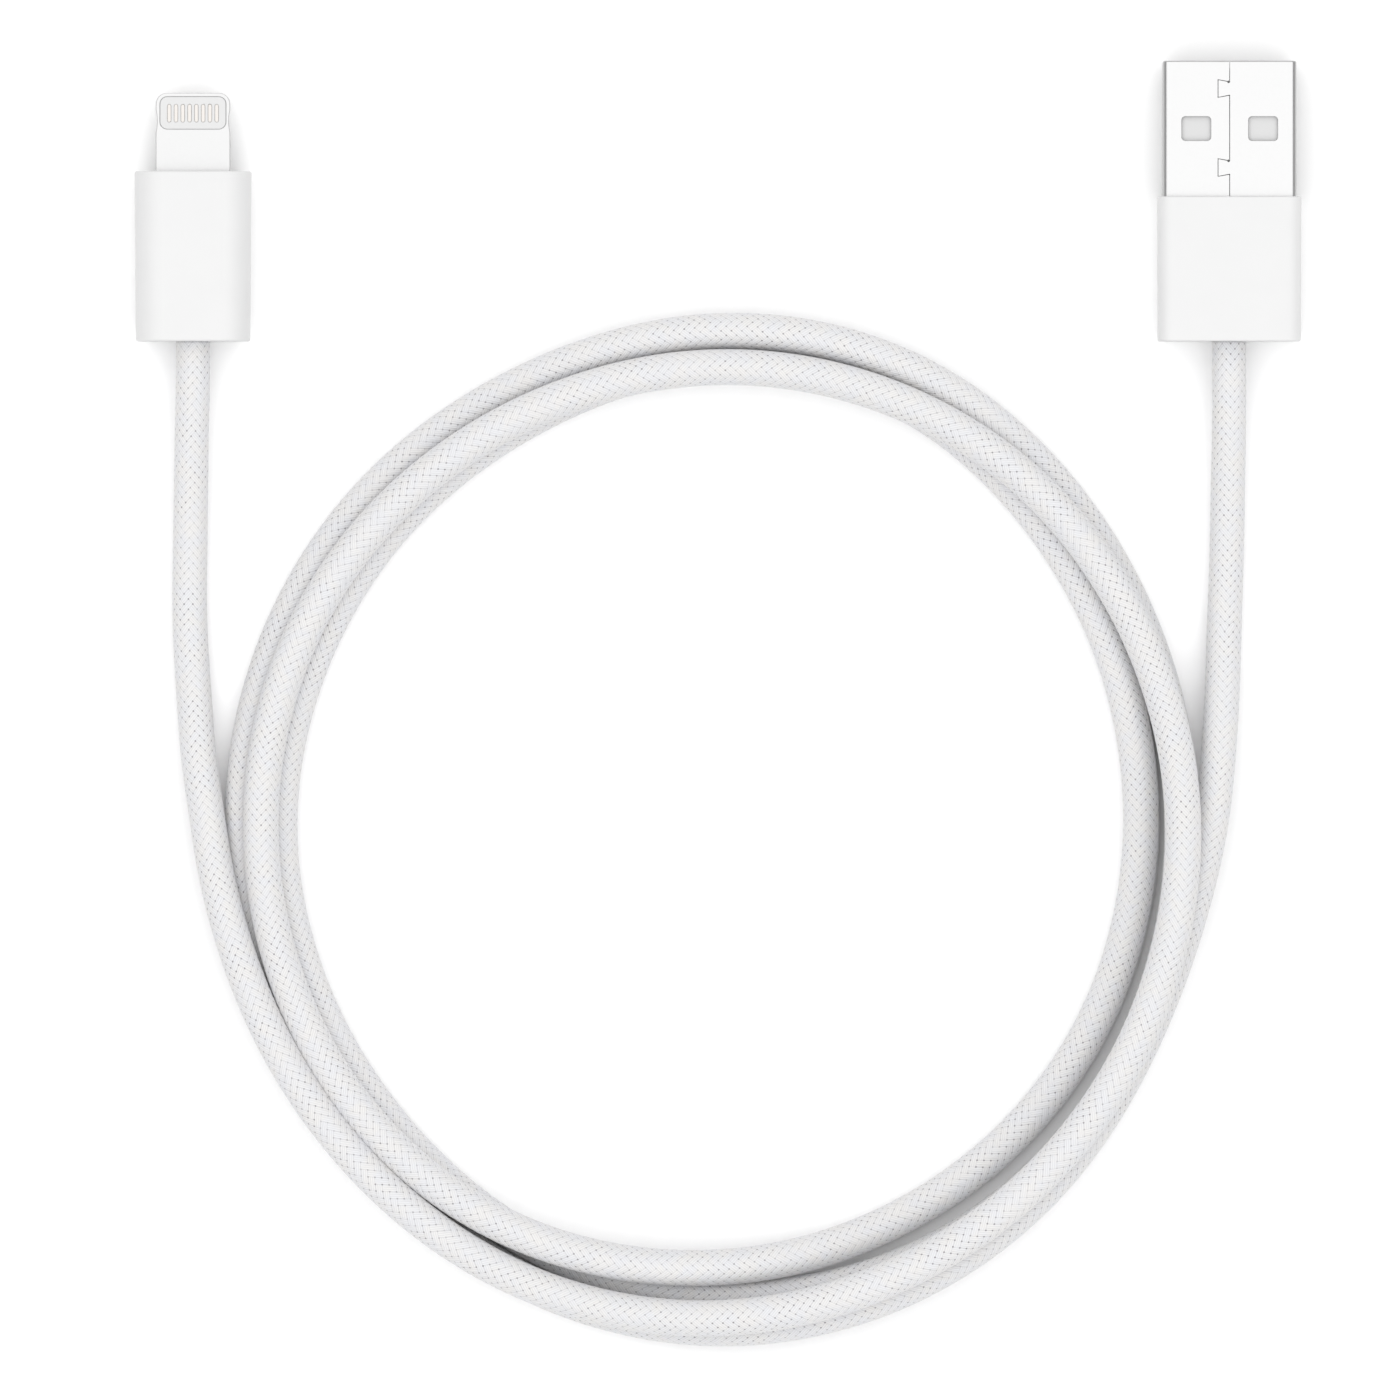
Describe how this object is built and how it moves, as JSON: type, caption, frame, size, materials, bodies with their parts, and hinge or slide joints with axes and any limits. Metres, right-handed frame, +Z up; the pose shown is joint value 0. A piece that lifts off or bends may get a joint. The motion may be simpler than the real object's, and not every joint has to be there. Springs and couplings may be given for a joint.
{
  "type": "charging cable",
  "caption": "Braided charging cable wound in a flat round coil, with a slim tab plug for a phone and a flat steel-shelled plug for a host or charger.",
  "frame": {"origin": "middle of the two plugs in plan, on the surface that the cable lies on", "axes": "+Y from both plugs' rear faces towards their tips, +X from the phone plug to the host plug, +Z up from the surface"},
  "size_m": [0.105, 0.1156, 0.0096],
  "materials": {
    "housing": "fine satin, white",
    "mould": "matt, off-white",
    "tab_metal": "fine satin",
    "carrier": "light grey",
    "contact": "pale gold plating",
    "board": "green lacquer",
    "chip": "black",
    "ceramic_chip": "tan ceramic",
    "can": "satin",
    "solder": "bright",
    "shell_steel": "bright, fine grain",
    "insulator": "white",
    "braid": "white woven sleeve",
    "jacket": "matt, white",
    "shield_braid": "fine copper strands",
    "wire_red": "satin",
    "wire_black": "satin",
    "wire_green": "satin",
    "wire_white": "satin"
  },
  "bodies": {
    "root": {"phone_housing": "housing", "phone_inner_mould": "mould", "phone_tab": "tab_metal", "phone_upper_contact_carrier": "carrier", "phone_lower_contact_carrier": "carrier", "phone_upper_contacts": "contact", "phone_lower_contacts": "contact", "phone_board": "board", "phone_control_chip": "chip", "phone_power_chip": "chip", "phone_capacitors": "ceramic_chip", "phone_upper_can": "can", "phone_lower_can": "can", "phone_solder_joints": "solder", "phone_crimp_ring": "can", "host_housing": "housing", "host_inner_mould": "mould", "host_shell": "shell_steel", "host_insulator": "insulator", "host_power_contacts": "contact", "host_data_contacts": "contact", "host_upper_rear_shield": "can", "host_lower_rear_shield": "can", "host_solder_joints": "solder", "host_crimp_ring": "can", "phone_tail": "braid", "host_tail": "braid", "cord_coil": "braid", "cord_sleeve_ends": "braid", "cord_jacket_ends": "jacket", "cord_shield_ends": "shield_braid", "power_wire": "wire_red", "ground_wire": "wire_black", "data_plus_wire": "wire_green", "data_minus_wire": "wire_white"}
  },
  "joints": []
}
